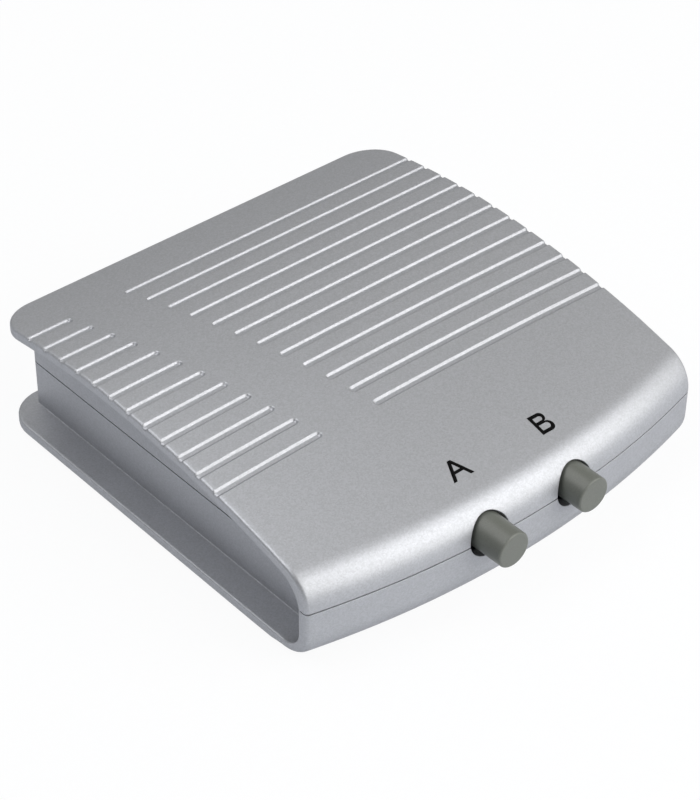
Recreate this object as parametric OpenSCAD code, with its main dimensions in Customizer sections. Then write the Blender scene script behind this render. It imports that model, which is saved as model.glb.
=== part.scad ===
// Two-way HDMI switch: a clamshell case with a bowed front, two linked push buttons and three sockets.
// In the modules' local frame y runs back from the middle of the front, and z runs up from the underside.
// The finished part stands on its feet, centred over its footprint.

/* [Case] */
// Width across the side edges of the plates
case_w = 110; // [100:1:124]
// Depth from the middle of the bowed front to the back edges of the plates
case_d = 112.5; // [106:0.5:124]
// Height of the case from its underside to its crown
case_h = 30.9; // [29:0.1:35]
// Height of the parting plane above the underside
parting_h = 14.1; // [13.5:0.1:15]
// Thickness of the plates and of the front wall
wall = 2.5; // [2:0.1:3]
// Plan radius of the bowed front
bow_r = 218; // [180:1:300]
// Radius of the crown, from front to back
crown_r = 230; // [210:1:280]
// Distance behind the front at which the crown is level
crown_front = 67; // [60:0.5:70]
// Distance from the back edge at which the crown starts to fall to the back
crown_back = 41; // [35:0.5:44]
// Radius of the upper front edge
nose_r = 8.5; // [5:0.5:9]
// Radius of the lower front edge
heel_r = 7.5; // [5:0.5:9]
// Plan radius of the rear corners of the plates
corner_r = 9; // [7:0.5:12]
// Plan radius of the corners where the front meets the side edges
front_corner_r = 1.5; // [0.5:0.1:3]

/* [Recessed walls] */
// Inset of the side walls from the side edges of the plates
side_inset = 7.1; // [5:0.1:8]
// Inset of the rear wall from the back edges of the plates
rear_inset = 2.2; // [1.5:0.1:4]
// Thickness of the side and rear walls
side_wall = 2; // [1.6:0.1:2.4]
// Outer radius of the rear corners of the walls
wall_corner_r = 2.5; // [1:0.1:5]
// Inner radius of the rear corners of the walls
inner_corner_r = 1; // [0.5:0.1:3]

/* [Grooves] */
// Number of grooves across the top
groove_count = 12; // [6:1:13]
// Width of a groove
groove_w = 1.85; // [1:0.05:2.5]
// Depth of a groove
groove_depth = 0.5; // [0.3:0.05:0.8]
// Distance between neighbouring grooves
groove_pitch = 5.8; // [4.5:0.1:6.2]
// Distance from the back edge to the middle of the first groove
groove_first = 13.6; // [10:0.1:18]
// Length of the first short groove, from the left edge
groove_short = 11.3; // [8:0.1:16]
// Length that each short groove gains on the one behind it
groove_step = 1.5; // [0.5:0.1:2]
// Width of the bare band between short and long grooves
band_w = 14.4; // [10:0.1:20]

/* [Buttons] */
// Diameter of a button
button_d = 8.5; // [7.5:0.1:9.5]
// Length of a button
button_len = 11; // [9:0.5:12]
// Rounding of the front edge of a button
button_edge = 0.5; // [0.2:0.1:1]
// How far the released button stands out of the front
button_out = 6.4; // [5:0.1:7]
// Travel of a button between released and pressed
button_travel = 1.5; // [1:0.1:2]
// Distance between the two buttons
button_pitch = 24.4; // [22:0.1:28]
// Sideways place of the middle of the pair
pair_x = 0.8; // [-3:0.1:3]
// Height of the button axes above the parting plane
button_rise = 1; // [0:0.1:1.5]
// Diameter of the button holes
hole_d = 10.2; // [9.8:0.1:11]
// Depth of the socket in the back of a button
socket_depth = 6; // [4:0.5:6.5]

/* [Switches] */
// Thickness of a plunger, which is square
plunger_t = 4; // [3.6:0.1:4.4]
// Gap round a plunger in its guide
plunger_slip = 0.1; // [0.05:0.01:0.15]
// Distance from the front of the case to the switches
switch_y = 10; // [9.5:0.1:12]
// Length of a switch
switch_len = 36; // [34:0.5:40]
// Width of a switch
switch_w = 9; // [8:0.1:10]
// Wall of a switch above its plunger
switch_wall = 1.5; // [1.2:0.1:1.8]
// Floor of a switch, which holds its pins
switch_floor = 1.5; // [1:0.1:1.7]
// Wall round the contact chamber of a switch
chamber_wall = 1; // [0.8:0.1:1.4]
// Number of pins in a row
pin_count = 8; // [6:2:8]
// Distance between pins in a row
pin_pitch = 4; // [3.6:0.1:4]
// Distance between the two rows of pins
pin_row = 4; // [3.6:0.1:4.4]
// Thickness of a pin, which is square
pin_t = 0.6; // [0.5:0.05:0.7]
// Length of a pin below the board
pin_below = 1.8; // [1.2:0.1:2]
// Height of a pin above the floor of the switch
pin_head = 0.4; // [0.2:0.05:0.5]
// Width of a contact clip
clip_w = 0.8; // [0.6:0.05:0.9]
// Thickness of the metal of a contact clip
clip_t = 0.3; // [0.2:0.05:0.4]
// Gap between a clip and the pin heads
clip_gap = 0.1; // [0.05:0.01:0.15]
// Thickness of the folded frame
frame_t = 1; // [0.8:0.1:1.2]

/* [Rocker] */
// Distance from the frame back to the pivot
pivot_gap = 6; // [5:0.1:7]
// Radius of the pivot pin
pivot_r = 1; // [0.8:0.1:1.2]
// Running gap of the rocker on its pin
pivot_slip = 0.05; // [0.03:0.01:0.08]
// Radius of the pin's head
pivot_head_r = 1.8; // [1.5:0.1:2.2]
// Height of the pin's head
pivot_head_h = 0.6; // [0.4:0.1:1]
// Play of the rocker above and below its hub
hub_play = 0.15; // [0.1:0.01:0.3]
// Radius of the rocker's hub
hub_r = 2.6; // [2.2:0.1:3]
// Radius of the round ends of the rocker's arms
nose_end_r = 0.9; // [0.8:0.05:1]
// Running gap of the arm ends in the plungers
nose_slip = 0.06; // [0.04:0.01:0.08]
// Wall behind the slot in a plunger's tail
tail_wall = 1.1; // [0.8:0.1:2]
// Wall beside the slot in a plunger's tail
tail_side = 0.8; // [0.6:0.1:0.9]
// Width of the rocker's arms
arm_w = 1.4; // [1.2:0.1:1.5]
// Height of the rocker's arms
arm_h = 3; // [2.4:0.1:3.4]
// Length of the rocker's detent arm
detent_len = 12; // [10:0.1:13]
// Radius of the tip of the detent arm
detent_tip_r = 0.6; // [0.5:0.05:0.7]
// Thickness of the detent spring
leaf_t = 0.3; // [0.2:0.05:0.4]
// Height of the detent spring
leaf_h = 3; // [2:0.1:4]
// Free length of the detent spring
leaf_span = 16; // [14:0.5:20]
// Gap between the resting tip of the detent arm and the spring
leaf_gap = 0.05; // [0.03:0.01:0.1]
// Height of the bump in the detent spring
bump_h = 0.3; // [0.2:0.05:0.35]
// Half of the length of the bump
bump_half = 0.5; // [0.4:0.05:0.6]
// Depth of the ears that hold the detent spring
ear_deep = 3; // [2:0.1:4]

/* [Board] */
// Gap between the board and the case screw posts
board_side_gap = 1.75; // [0.5:0.05:3]
// Thickness of the circuit board
board_t = 1.6; // [1.2:0.1:2]
// Distance from the board's upper face up to the button axis
board_drop = 6.6; // [6.4:0.1:7]
// Distance from the front of the case to the board
board_y = 8; // [7:0.1:9]
// Gap between the board and the rear wall
board_gap = 0.5; // [0.3:0.1:1]
// Diameter of the posts under the board
board_post_d = 6; // [5:0.1:6.5]
// Distance from the board's side and front edges to its screws
board_screw_in = 4; // [3.5:0.1:4.5]
// Distance from the backs of the sockets to the rear board screws
board_screw_gap = 6; // [5:0.1:12]
// Shank diameter of the board screws
board_screw_d = 2.2; // [2:0.1:2.4]
// Head diameter of the board screws
board_head_d = 4; // [3.6:0.1:4.4]
// Head height of the board screws
board_head_h = 1.3; // [1:0.1:1.6]
// Length of the board screws under their heads
board_screw_len = 5; // [4:0.5:5]

/* [Sockets] */
// Distance between neighbouring sockets
port_pitch = 20; // [18:0.5:20]
// Width of a socket's metal shell
port_w = 15; // [14.6:0.1:15.4]
// Height of a socket's metal shell
port_h = 5.6; // [5.5:0.1:6]
// Width of the lower face of a socket
port_foot_w = 10.8; // [10:0.1:11.4]
// Height of the slanted lower corners of a socket
port_slant_h = 2.2; // [1.8:0.1:2.4]
// Depth of a socket
port_depth = 12; // [11:0.5:13]
// Sheet thickness of a socket's shell
port_sheet = 0.35; // [0.3:0.05:0.4]
// Gap round a socket in the rear wall
port_gap = 0.2; // [0.1:0.05:0.4]
// Width of a socket's legs
leg_w = 1.2; // [0.8:0.1:1.5]
// Length of a socket's legs below the board
leg_below = 1.2; // [0.8:0.1:1.5]
// Distance from the back of a socket to its rear legs
leg_back = 2; // [1:0.1:3]
// Distance between a socket's rear and front legs
leg_step = 5; // [4:0.1:5.5]
// Width of a socket's tongue
tongue_w = 11.8; // [11.2:0.1:12]
// Thickness of a socket's tongue
tongue_t = 1.5; // [1.2:0.1:1.6]
// Height of the middle of the tongue above the board
tongue_h = 3; // [2.8:0.1:3.2]
// Distance from the mouth of a socket to the tip of its tongue
tongue_set = 1.2; // [0.8:0.1:2]
// Length of the insulator block behind the tongue
block_len = 3; // [2.5:0.1:3.5]
// Width of a socket contact
contact_w = 0.36; // [0.3:0.01:0.4]
// Thickness of a socket contact
contact_t = 0.15; // [0.12:0.01:0.2]
// Distance between neighbouring contacts on one face of the tongue
contact_pitch = 1; // [0.95:0.01:1.05]
// Number of contacts on top of the tongue
upper_contacts = 10; // [6:1:10]
// Number of contacts below the tongue
lower_contacts = 9; // [5:1:9]
// Distance from the tip of the tongue to the tips of its contacts
contact_tip = 0.6; // [0.4:0.1:2]
// Distance from the back of a socket to the tails of the lower contacts
tail_near = 0.6; // [0.4:0.1:0.8]
// Distance between the tails of the lower and the upper contacts
tail_step = 0.8; // [0.6:0.1:1]
// Length of a contact's foot on the board
contact_foot = 0.8; // [0.5:0.1:1]

/* [Fasteners and feet] */
// Shank diameter of the case screws
screw_d = 2.9; // [2.6:0.1:3.2]
// Head diameter of the case screws
screw_head_d = 5.6; // [5:0.1:5.8]
// Head height of the case screws
screw_head_h = 1.9; // [1.6:0.1:2.2]
// Depth of the head recess below the case screws
screw_sink = 5; // [4:0.1:6]
// Length of the case screws in the top shell
screw_bite = 7; // [5:0.1:7]
// Diameter of the case screw posts
post_d = 8.5; // [8:0.1:9]
// Distance from the inner faces of the side walls to the case screws
screw_side = 6.9; // [5:0.1:8]
// Distance from the front of the case to the front case screws
screw_front = 17; // [15:0.5:20]
// Distance from the inner face of the rear wall to the rear case screws
screw_rear = 9.8; // [7:0.1:14]
// Diameter of the rubber feet
foot_d = 10; // [8:0.5:12]
// How far the feet stand below the case
foot_proud = 1; // [0.6:0.1:2]
// Depth of the recess that holds a foot
foot_sink = 0.8; // [0.5:0.1:1.2]
// Width of the chamfer round the feet
foot_chamfer = 0.3; // [0.1:0.1:0.5]
// Distance from the side edges of the plates to the feet
foot_side = 13; // [9:0.5:18]
// Distance from the front and back screws to the feet
foot_step = 16; // [12:0.5:22]

/* [Clearances] */
// Gap round screws, pins, legs and feet in plain holes
hole_slip = 0.25; // [0.15:0.01:0.35]
// Gap round threads, and between pieces that are pressed or glued together
seat_slip = 0.05; // [0.03:0.01:0.08]

/* [Hidden] */
$fn = 48;

// Steps along rounded edges, small corners and the crown
edge_steps = 12;
corner_steps = 6;
crown_steps = 12;
// Small overshoot of a cut past a face
over = 1;

// Front of the case when the part is centred over its footprint, buttons included
front_y = (button_out - case_d) / 2;

// The upper front edge meets the crown where both have the same slope
nose_z = case_h - crown_r + sqrt(pow(crown_r - nose_r, 2) - pow(crown_front - nose_r, 2));
nose_end = 90 + asin((crown_front - nose_r) / (crown_r - nose_r));
crown_mid_z = case_h - crown_r;

axis_z = parting_h + button_rise;
button_a_x = pair_x - button_pitch / 2;
button_b_x = pair_x + button_pitch / 2;
// In the photographed state channel B is chosen: A stands out and B is in
shift_a = -button_travel / 2;
shift_b = button_travel / 2;

// The board lies between the case screw posts
wall_x = case_w / 2 - side_inset;
wall_y = case_d - rear_inset;
screw_x = wall_x - side_wall - screw_side;
screw_back = wall_y - side_wall - screw_rear;
foot_x = case_w / 2 - foot_side;
board_z = axis_z - board_drop;
board_under = board_z - board_t;
board_w = 2 * (screw_x - post_d / 2 - board_side_gap);
board_end = wall_y - side_wall - board_gap;

switch_top = axis_z + plunger_t / 2 + plunger_slip + switch_wall;
switch_end = switch_y + switch_len;
switch_mid = switch_y + switch_len / 2;
frame_front = switch_y - frame_t;
frame_top = switch_top + frame_t;

// Contact chamber below the plunger: the clips slide just above the heads of the pins
chamber_z = board_z + switch_floor;
pin_low = board_under - pin_below;
pin_top = chamber_z + pin_head;
clip_bottom = pin_top + clip_gap;
clip_top = axis_z - plunger_t / 2;
clip_len = pin_pitch + pin_t;

pivot_y = switch_end + frame_t + pivot_gap;
arm_len = button_pitch / 2;
rocker_turn = asin(button_travel / 2 / arm_len);
slot_w = 2 * (nose_end_r + nose_slip);
tail_end = pivot_y + slot_w / 2 + tail_wall;
arm_z = axis_z - arm_h / 2;
hub_top = switch_top - hub_play;
// The tip of the detent arm rests just in front of the leaf, beside its bump
leaf_y = pivot_y + detent_len * cos(rocker_turn) + detent_tip_r + leaf_gap;
leaf_half = leaf_span / 2 + frame_t;

port_xs = [-port_pitch, 0, port_pitch];
port_back = wall_y - port_depth;
port_slant = atan2(port_slant_h, (port_w - port_foot_w) / 2);
leg_x = (port_w - port_sheet) / 2;
leg_ys = [port_back + leg_back, port_back + leg_back + leg_step];
// Faces of the tongue: [number of contacts, lower face of the strips, tails behind the socket, slot below]
contact_rows = [
    [upper_contacts, tongue_h + tongue_t / 2, tail_near + tail_step, 0],
    [lower_contacts, tongue_h - tongue_t / 2 - contact_t, tail_near, seat_slip]];

screw_spots = [for (x = [-screw_x, screw_x]) for (y = [screw_front, screw_back]) [x, y]];
foot_ys = [screw_front + foot_step, screw_back - foot_step];
foot_spots = [for (x = [-foot_x, foot_x]) for (y = foot_ys) [x, y]];
board_screw_x = board_w / 2 - board_screw_in;
board_screw_ys = [board_y + board_screw_in, port_back - board_screw_gap];
board_spots = [for (x = [-board_screw_x, board_screw_x]) for (y = board_screw_ys) [x, y]];

// Points along an arc, both ends included
function arc(mid, r, from, to, steps) =
    [for (i = [0:steps]) let (turn = from + (to - from) * i / steps) mid + r * [cos(turn), sin(turn)]];

// Side profile of the case, drawn in by a distance: heel, front, nose, crown and back
function side_profile(inset) = concat(
    [[case_d + over, inset]],
    arc([heel_r, heel_r], heel_r - inset, 270, 180, edge_steps),
    arc([nose_r, nose_z], nose_r - inset, 180, nose_end, edge_steps),
    [for (i = [1:crown_steps])
        arc([crown_front, crown_mid_z], crown_r - inset, nose_end, 90, crown_steps)[i]],
    [[case_d + over, case_h - inset]]);

// Half of the plan of the plates on the right: front corner, side edge and rear corner
function plate_half() =
    let (r = front_corner_r,
        mid = [case_w / 2 - r, bow_r - sqrt(pow(bow_r - r, 2) - pow(case_w / 2 - r, 2))],
        turn = asin(mid.x / (bow_r - r)),
        start = mid + r * [sin(turn), -cos(turn)])
    concat([[start.x, -over]], arc(mid, r, turn - 90, 0, corner_steps),
        arc([case_w / 2 - corner_r, case_d - corner_r], corner_r, 0, 90, edge_steps));

// Half of the plan of the recessed walls on the right
function wall_half(inset, r) = concat([[wall_x - inset, -over]],
    arc([wall_x - inset - r, wall_y - inset - r], r, 0, 90, corner_steps));

// Closes a right half with its mirror image
function both_halves(half) = concat(half, [for (i = [len(half) - 1:-1:0]) [-half[i].x, half[i].y]]);

// Outline of a socket's shell, drawn in by a distance
function port_outline(inset) =
    let (foot = port_foot_w / 2 - inset * tan(port_slant / 2),
        side = port_w / 2 - inset,
        slant_top = port_slant_h + inset * tan((90 - port_slant) / 2))
    [[-foot, inset], [foot, inset], [side, slant_top], [side, port_h - inset],
        [-side, port_h - inset], [-side, slant_top]];

// Moves a piece from the local frame to its place on the feet
module placed() {
    translate([0, front_y, foot_proud]) children();
}

// Extrudes a side view, drawn as [y, z], across a width
module across(width) {
    rotate([90, 0, 90]) linear_extrude(height = width, center = true) children();
}

// Extrudes a rear view, drawn as [x, z], forwards over a length
module along(length) {
    rotate([90, 0, 0]) linear_extrude(height = length) children();
}

// Block centred on x, from given near and low edges
module bar(width, near, far, low, high) {
    translate([-width / 2, near, low]) cube([width, far - near, high - low]);
}

// Side profile carried round the bow of the front
module bow_sweep(inset) {
    translate([0, bow_r, 0])
        rotate_extrude($fn = 360) polygon([for (p = side_profile(inset)) [bow_r - p.x, p.y]]);
}

// Everything below the crown where it falls to the back
module back_slab(inset) {
    fall = asin((crown_back + over) / (crown_r - inset));
    across(case_w + 4 * over)
        polygon(concat(
            [[-over, -over], [case_d + 2 * over, -over]],
            arc([case_d - crown_back, crown_mid_z], crown_r - inset, 90 - fall, 90, crown_steps),
            [[-over, case_h - inset]]));
}

// Space below the top face, drawn in by a distance and open at the sides and the back
module under_top(inset) {
    intersection() {
        bow_sweep(inset);
        back_slab(inset);
    }
}

// Ring of the recessed side and rear walls
module wall_ring() {
    linear_extrude(height = case_h)
        difference() {
            polygon(both_halves(wall_half(0, wall_corner_r)));
            polygon(both_halves(wall_half(side_wall, inner_corner_r)));
        }
}

// Both shells in one, before they are split at the parting plane
module hollow_case() {
    difference() {
        intersection() {
            under_top(0);
            linear_extrude(height = case_h + over) polygon(both_halves(plate_half()));
        }
        difference() {
            under_top(wall);
            wall_ring();
        }
    }
}

// Slot along x with one round end, from outside the case to its tip
module groove_slot(open_x, tip_x, y) {
    r = groove_w / 2;
    side = tip_x > open_x ? 1 : -1;
    tip = arc([0, 0], r, 90, -90, corner_steps);
    polygon(concat([[open_x, y + r]],
        [for (p = tip) [tip_x + side * (p.x - r), y + p.y]],
        [[open_x, y - r]]));
}

// Short and long grooves on both sides of the bare band, all of one depth below the top face
module groove_cuts() {
    edge = case_w / 2 + over;
    difference() {
        translate([0, 0, parting_h])
            linear_extrude(height = case_h)
                for (i = [0:groove_count - 1]) {
                    y = case_d - groove_first - i * groove_pitch;
                    tip = -case_w / 2 + groove_short + i * groove_step;
                    groove_slot(-edge, tip, y);
                    groove_slot(edge, tip + band_w, y);
                }
        translate([0, 0, -groove_depth]) under_top(0);
    }
}

module button_holes() {
    for (x = [button_a_x, button_b_x])
        translate([x, frame_front, axis_z])
            rotate([90, 0, 0]) cylinder(d = hole_d, h = frame_front + over);
}

module port_openings() {
    for (x = port_xs)
        translate([x, wall_y + over, board_z])
            along(side_wall + 2 * over) polygon(port_outline(-port_gap));
}

module top_shell() {
    color("silver") placed() difference() {
        union() {
            intersection() {
                hollow_case();
                bar(2 * case_w, -over, case_d + over, parting_h, case_h + over);
            }
            intersection() {
                under_top(wall / 2);
                for (p = screw_spots)
                    translate([p.x, p.y, parting_h]) cylinder(d = post_d, h = case_h);
            }
        }
        groove_cuts();
        button_holes();
        port_openings();
        for (p = screw_spots)
            translate([p.x, p.y, parting_h - over])
                cylinder(d = screw_d + 2 * seat_slip, h = screw_bite + 2 * over);
    }
}

module bottom_shell() {
    post_z = wall / 2;
    color("silver") placed() difference() {
        union() {
            intersection() {
                hollow_case();
                bar(2 * case_w, -over, case_d + over, -over, parting_h);
            }
            for (p = screw_spots)
                translate([p.x, p.y, post_z]) cylinder(d = post_d, h = parting_h - post_z);
            for (p = board_spots)
                translate([p.x, p.y, post_z]) cylinder(d = board_post_d, h = board_under - post_z);
        }
        button_holes();
        port_openings();
        for (p = screw_spots) {
            translate([p.x, p.y, -over]) cylinder(d = screw_head_d + 2 * hole_slip, h = screw_sink + over);
            translate([p.x, p.y, -over]) cylinder(d = screw_d + 2 * hole_slip, h = parting_h + 2 * over);
        }
        for (p = board_spots)
            translate([p.x, p.y, board_z - board_screw_len - seat_slip])
                cylinder(d = board_screw_d + 2 * seat_slip, h = board_screw_len + over);
        for (p = foot_spots)
            translate([p.x, p.y, -over]) cylinder(d = foot_d + 2 * hole_slip, h = foot_sink + over);
    }
}

// Round cap with a square socket in its back
module button(x, shift) {
    front = shift + button_travel / 2 - button_out;
    r = button_d / 2;
    low = -plunger_t / 2 - seat_slip;
    color("#797c74") placed() translate([x, front, axis_z]) difference() {
        rotate([-90, 0, 0]) rotate_extrude()
            polygon(concat([[0, 0]],
                arc([r - button_edge, button_edge], button_edge, -90, 0, corner_steps),
                [[r, button_len], [0, button_len]]));
        bar(-2 * low, button_len - socket_depth, button_len + over, low, -low);
    }
}

module button_a() {
    button(button_a_x, shift_a);
}

module button_b() {
    button(button_b_x, shift_b);
}

// Square bar from the cap to the rocker: the slot in its tail opens towards the other plunger
module plunger(x, shift, inner) {
    front = button_len - socket_depth - button_out + button_travel / 2 + seat_slip;
    half = plunger_t / 2;
    color("ivory") placed() translate([x, shift, axis_z]) difference() {
        bar(plunger_t, front, tail_end, -half, half);
        translate([inner * tail_side, pivot_y, 0])
            bar(plunger_t, -slot_w / 2, slot_w / 2, -half - over, half + over);
    }
}

module plunger_a() {
    plunger(button_a_x, shift_a, 1);
}

module plunger_b() {
    plunger(button_b_x, shift_b, -1);
}

// Places of a switch's pins: two rows along the plunger
function pin_spots() = [for (x = [-pin_row / 2, pin_row / 2]) for (i = [0:pin_count - 1])
    [x, switch_mid + (i - (pin_count - 1) / 2) * pin_pitch]];

// Housing with a guide for the plunger and a contact chamber below it
module switch_body(x) {
    guide = plunger_t + 2 * plunger_slip;
    chamber_w = switch_w - 2 * chamber_wall;
    hole = pin_t + 2 * seat_slip;
    color("#3a3028") placed() translate([x, 0, 0]) difference() {
        bar(switch_w, switch_y, switch_end, board_z, switch_top);
        bar(guide, switch_y - over, switch_end + over, axis_z - guide / 2, axis_z + guide / 2);
        bar(chamber_w, switch_y + chamber_wall, switch_end - chamber_wall, chamber_z, clip_top);
        for (p = pin_spots())
            translate([p.x, p.y, 0]) bar(hole, -hole / 2, hole / 2, board_z - over, chamber_z + over);
    }
}

module switch_body_a() {
    switch_body(button_a_x);
}

module switch_body_b() {
    switch_body(button_b_x);
}

// Staple-shaped clips that hang under the plunger and bridge two pins each
module contact_clips(x, shift) {
    span = clip_len / 2;
    inner = span - clip_t;
    under = clip_top - clip_t;
    color("#c8a04a") placed() translate([x, shift, 0])
        for (px = [-pin_row / 2, pin_row / 2])
            for (i = [0:2:pin_count - 2])
                translate([px, switch_mid + (i - (pin_count - 2) / 2) * pin_pitch, 0]) across(clip_w)
                    polygon([[-span, clip_bottom], [-inner, clip_bottom], [-inner, under], [inner, under],
                        [inner, clip_bottom], [span, clip_bottom], [span, clip_top], [-span, clip_top]]);
}

module contact_clips_a() {
    contact_clips(button_a_x, shift_a);
}

module contact_clips_b() {
    contact_clips(button_b_x, shift_b);
}

module switch_pins(x) {
    color("#d0b060") placed() translate([x, 0, 0])
        for (p = pin_spots())
            translate([p.x, p.y, 0]) bar(pin_t, -pin_t / 2, pin_t / 2, pin_low, pin_top);
}

module switch_pins_a() {
    switch_pins(button_a_x);
}

module switch_pins_b() {
    switch_pins(button_b_x);
}

// Folded frame over both switches, with a tongue for the pivot and two ears for the detent spring
module switch_frame() {
    width = button_pitch + switch_w;
    half_window = plunger_t / 2 + 2 * plunger_slip;
    ear_near = leaf_y + (leaf_t - ear_deep) / 2;
    ear_far = ear_near + ear_deep;
    ear_low = axis_z - leaf_h;
    ear_x = leaf_half - frame_t / 2;
    leaf_low = axis_z - leaf_h / 2 - seat_slip;
    color("#b8bcc0") placed() translate([pair_x, 0, 0]) difference() {
        union() {
            for (y = [frame_front, switch_end])
                bar(width, y, y + frame_t, board_z, frame_top);
            bar(width, frame_front, switch_end + frame_t, switch_top, frame_top);
            bar(2 * leaf_half, switch_end, ear_far, switch_top, frame_top);
            for (side = [-1, 1])
                translate([side * ear_x, 0, 0]) bar(frame_t, ear_near, ear_far, ear_low, frame_top);
        }
        for (side = [-1, 1])
            translate([side * button_pitch / 2, 0, axis_z])
                bar(2 * half_window, frame_front - over, switch_end + 2 * over, -half_window, half_window);
        translate([0, pivot_y, switch_top - over]) cylinder(r = pivot_r, h = frame_t + 2 * over);
        bar(2 * leaf_half + over, leaf_y - seat_slip, leaf_y + leaf_t + seat_slip,
            leaf_low, leaf_low + leaf_h + 2 * seat_slip);
    }
}

// Lever with two arms in the plungers and a third arm for the detent
module rocker() {
    color("white") placed() translate([pair_x, pivot_y, 0]) rotate([0, 0, rocker_turn]) difference() {
        union() {
            translate([0, 0, arm_z]) cylinder(r = hub_r, h = hub_top - arm_z);
            bar(2 * arm_len, -arm_w / 2, arm_w / 2, arm_z, arm_z + arm_h);
            bar(2 * detent_tip_r, 0, detent_len, arm_z, arm_z + arm_h);
            for (side = [-1, 1])
                translate([side * arm_len, 0, arm_z]) cylinder(r = nose_end_r, h = arm_h);
            translate([0, detent_len, arm_z]) cylinder(r = detent_tip_r, h = arm_h);
        }
        translate([0, 0, arm_z - over]) cylinder(r = pivot_r + pivot_slip, h = hub_top - arm_z + 2 * over);
    }
}

// Headed pin, riveted into the frame
module rocker_pin() {
    shank_z = arm_z - hub_play;
    color("#c8ccd0") placed() translate([pair_x, pivot_y, shank_z]) {
        translate([0, 0, -pivot_head_h]) cylinder(r = pivot_head_r, h = pivot_head_h);
        cylinder(r = pivot_r, h = frame_top - shank_z);
    }
}

// Leaf on edge between the frame's ears, with a small bump in the middle
module detent_spring() {
    front = [[-leaf_half, 0], [-bump_half, 0], [0, -bump_h], [bump_half, 0], [leaf_half, 0]];
    back = [for (i = [len(front) - 1:-1:0]) front[i] + [0, leaf_t]];
    color("#d8dce0") placed() translate([pair_x, leaf_y, axis_z - leaf_h / 2])
        linear_extrude(height = leaf_h) polygon(concat(front, back));
}

module circuit_board() {
    pin_hole_d = pin_t * sqrt(2) + 2 * hole_slip;
    color("#1f5a34") placed() difference() {
        bar(board_w, board_y, board_end, board_under, board_z);
        for (x = [button_a_x, button_b_x])
            for (p = pin_spots())
                translate([x + p.x, p.y, board_under - over])
                    cylinder(d = pin_hole_d, h = board_t + 2 * over);
        for (x = port_xs)
            for (side = [-1, 1])
                for (y = leg_ys)
                    translate([x + side * leg_x, y, 0])
                        bar(port_sheet + 2 * hole_slip, -hole_slip, leg_w + hole_slip,
                            board_under - over, board_z + over);
        for (p = board_spots)
            translate([p.x, p.y, board_under - over])
                cylinder(d = board_screw_d + 2 * hole_slip, h = board_t + 2 * over);
    }
}

// Sheet-metal shell of a socket, with four legs through the board
module port_shell(x) {
    color("#c4c6c8") placed() translate([x, 0, 0]) {
        translate([0, wall_y, board_z]) along(port_depth) difference() {
            polygon(port_outline(0));
            polygon(port_outline(port_sheet));
        }
        for (side = [-1, 1])
            for (y = leg_ys)
                translate([side * leg_x, 0, 0])
                    bar(port_sheet, y, y + leg_w, board_under - leg_below, board_z + port_h / 2);
    }
}

module input_port_a() {
    port_shell(port_xs[0]);
}

module input_port_b() {
    port_shell(port_xs[1]);
}

module output_port() {
    port_shell(port_xs[2]);
}

// Puts children at each place of a row of contacts
module contact_row(count) {
    for (i = [0:count - 1])
        translate([(i - (count - 1) / 2) * contact_pitch, 0, 0]) children();
}

// Insulator: a block that closes the back of the shell and a tongue that carries the contacts
module port_tongue(x) {
    block_end = port_back + block_len;
    color("#202124") placed() translate([x, 0, board_z]) difference() {
        union() {
            translate([0, block_end, 0]) along(block_len) polygon(port_outline(port_sheet + seat_slip));
            bar(tongue_w, port_back, wall_y - tongue_set, tongue_h - tongue_t / 2, tongue_h + tongue_t / 2);
        }
        for (row = contact_rows)
            contact_row(row[0])
                translate([0, 0, row[1] - row[3]])
                    bar(contact_w + 2 * seat_slip, port_back - over, block_end, 0, contact_t + seat_slip);
    }
}

module input_tongue_a() {
    port_tongue(port_xs[0]);
}

module input_tongue_b() {
    port_tongue(port_xs[1]);
}

module output_tongue() {
    port_tongue(port_xs[2]);
}

// Strips along the tongue, each with a tail down to a foot on the board
module port_contacts(x) {
    tip = wall_y - tongue_set - contact_tip;
    color("#d8b24a") placed() translate([x, 0, board_z])
        for (row = contact_rows)
            contact_row(row[0]) {
                tail = port_back - row[2];
                bar(contact_w, tail - contact_t, tip, row[1], row[1] + contact_t);
                bar(contact_w, tail - contact_t, tail, 0, row[1] + contact_t);
                bar(contact_w, tail - contact_foot, tail, 0, contact_t);
            }
}

module input_contacts_a() {
    port_contacts(port_xs[0]);
}

module input_contacts_b() {
    port_contacts(port_xs[1]);
}

module output_contacts() {
    port_contacts(port_xs[2]);
}

// Pan-headed self-tapping screw with a cross recess, head down
module screw(shank_d, head_d, head_h, length) {
    point = shank_d / 2;
    recess_len = 0.6 * head_d;
    recess_w = 0.16 * head_d;
    difference() {
        union() {
            cylinder(d1 = 0.8 * head_d, d2 = head_d, h = head_h / 3);
            translate([0, 0, head_h / 3]) cylinder(d = head_d, h = head_h * 2 / 3);
            translate([0, 0, head_h]) cylinder(d = shank_d, h = length - point);
            translate([0, 0, head_h + length - point]) cylinder(d1 = shank_d, d2 = shank_d / 4, h = point);
        }
        for (turn = [0, 90])
            rotate([0, 0, turn]) bar(recess_len, -recess_w / 2, recess_w / 2, -over, head_h / 2);
    }
}

module case_screws() {
    color("#9a9da0") placed()
        for (p = screw_spots)
            translate([p.x, p.y, screw_sink - screw_head_h])
                screw(screw_d, screw_head_d, screw_head_h, parting_h - screw_sink + screw_bite);
}

module board_screws() {
    color("#9a9da0") placed()
        for (p = board_spots)
            translate([p.x, p.y, board_z + board_head_h]) mirror([0, 0, 1])
                screw(board_screw_d, board_head_d, board_head_h, board_screw_len);
}

// Stick-on foot with a chamfered lower edge
module rubber_feet() {
    r = foot_d / 2;
    height = foot_proud + foot_sink;
    color("#2a2a2c") placed()
        for (p = foot_spots)
            translate([p.x, p.y, -foot_proud]) rotate_extrude()
                polygon([[0, 0], [r - foot_chamfer, 0], [r, foot_chamfer], [r, height], [0, height]]);
}

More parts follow.
